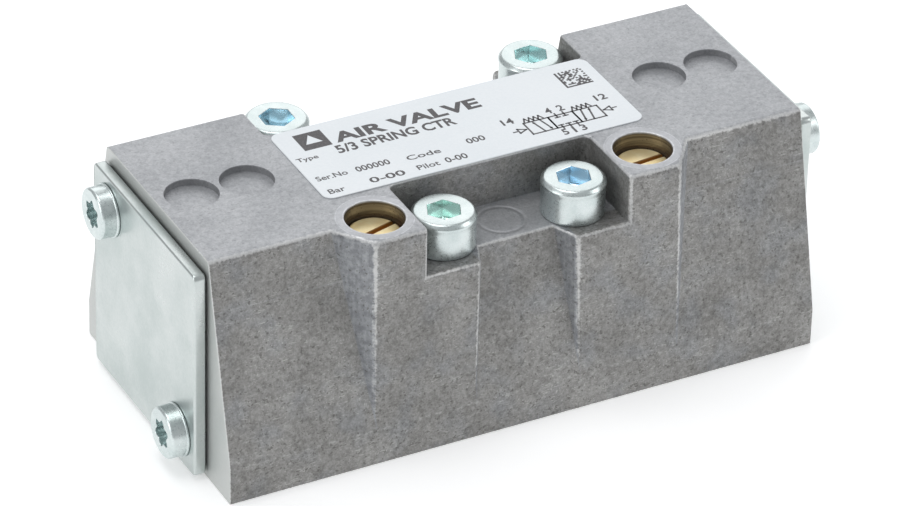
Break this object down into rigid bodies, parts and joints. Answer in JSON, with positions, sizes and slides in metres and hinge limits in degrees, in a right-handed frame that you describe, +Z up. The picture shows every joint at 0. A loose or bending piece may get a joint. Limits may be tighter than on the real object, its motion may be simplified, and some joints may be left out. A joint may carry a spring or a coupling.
{
  "type": "pneumatic directional valve",
  "caption": "Sub-base mounted air valve: die-cast block with sliding spool, spring centring, pilot pistons, end plates, flow regulators and socket screws.",
  "frame": {"origin": "centre of the underside, which is the mounting face", "axes": "+X along the spool, +Z up out of the mounting face, the flow regulators on the -Y side"},
  "size_m": [0.0904, 0.0416, 0.0318],
  "materials": {
    "die_cast": "vibratory-finished grey die casting, mottled, with light worn edges",
    "zinc_plated_sheet": "pale blue-green zinc plating on rolled sheet, satin",
    "zinc_plated_screw": "bright zinc plating with a faint blue-green tint",
    "brass": "turned brass, satin",
    "hard_anodised": "dark grey hard anodising, fine satin",
    "polished_steel": "lapped bright steel",
    "spring_steel": "drawn spring wire, satin",
    "seal_rubber": "black nitrile, matt",
    "label_foil": "pale silver-white foil, printed in dark grey, semi-gloss"
  },
  "bodies": {
    "block": {"valve_body": "die_cast", "rating_label": "label_foil", "base_gasket": "seal_rubber", "end_plate_left": "zinc_plated_sheet", "end_plate_right": "zinc_plated_sheet", "end_gasket_left": "seal_rubber", "end_gasket_right": "seal_rubber", "spool_sleeve": "hard_anodised", "centring_spring_left": "spring_steel", "centring_spring_right": "spring_steel", "end_screw_left_top": "zinc_plated_screw", "end_screw_left_bottom": "zinc_plated_screw", "end_screw_right_top": "zinc_plated_screw", "end_screw_right_bottom": "zinc_plated_screw", "sleeve_oring_1": "seal_rubber", "sleeve_oring_2": "seal_rubber", "sleeve_oring_3": "seal_rubber", "sleeve_oring_4": "seal_rubber", "sleeve_oring_5": "seal_rubber", "sleeve_oring_6": "seal_rubber"},
    "spool_group": {"spool": "polished_steel", "pilot_piston_left": "hard_anodised", "pilot_piston_right": "hard_anodised", "piston_seal_left": "seal_rubber", "piston_seal_right": "seal_rubber"},
    "regulator_seal_left": {"regulator_oring_left": "seal_rubber"},
    "regulator_left": {"flow_regulator_left": "brass"},
    "regulator_seal_right": {"regulator_oring_right": "seal_rubber"},
    "regulator_right": {"flow_regulator_right": "brass"},
    "mounting_screw_front_left": {"mounting_screw_front_left": "zinc_plated_screw"},
    "mounting_screw_front_right": {"mounting_screw_front_right": "zinc_plated_screw"},
    "mounting_screw_rear_left": {"mounting_screw_rear_left": "zinc_plated_screw"},
    "mounting_screw_rear_right": {"mounting_screw_rear_right": "zinc_plated_screw"}
  },
  "joints": [
    {"name": "spool_shift", "type": "slide", "parent": "block", "child": "spool_group", "axis": [1, 0, 0], "range_m": [-0.003, 0.003], "stiffness_N_per_m": 1500, "deforming": ["centring_spring_left", "centring_spring_right"]},
    {"name": "regulator_left_lift", "type": "slide", "parent": "block", "child": "regulator_seal_left", "axis": [0, 0, 1], "range_m": [-0.003, 0.0018]},
    {"name": "regulator_left_turn", "type": "hinge", "parent": "regulator_seal_left", "child": "regulator_left", "pos_m": [-0.01855, -0.0142, 0.0296], "axis": [0, 0, 1], "range_deg": [-1440.5, 864.5]},
    {"name": "regulator_right_lift", "type": "slide", "parent": "block", "child": "regulator_seal_right", "axis": [0, 0, 1], "range_m": [-0.003, 0.0018]},
    {"name": "regulator_right_turn", "type": "hinge", "parent": "regulator_seal_right", "child": "regulator_right", "pos_m": [0.01855, -0.0142, 0.0296], "axis": [0, 0, 1], "range_deg": [-1440.5, 864.5]},
    {"name": "screw_front_left_lift", "type": "slide", "parent": "block", "child": "mounting_screw_front_left", "axis": [0, 0, 1], "range_m": [0, 0.006]},
    {"name": "screw_front_right_lift", "type": "slide", "parent": "block", "child": "mounting_screw_front_right", "axis": [0, 0, 1], "range_m": [0, 0.006]},
    {"name": "screw_rear_left_lift", "type": "slide", "parent": "block", "child": "mounting_screw_rear_left", "axis": [0, 0, 1], "range_m": [0, 0.006]},
    {"name": "screw_rear_right_lift", "type": "slide", "parent": "block", "child": "mounting_screw_rear_right", "axis": [0, 0, 1], "range_m": [0, 0.006]}
  ],
  "couplings": [
    {"joint": "regulator_left_turn", "follows": "regulator_left_lift", "rad_per_m": 8377.6},
    {"joint": "regulator_right_turn", "follows": "regulator_right_lift", "rad_per_m": 8377.6}
  ]
}
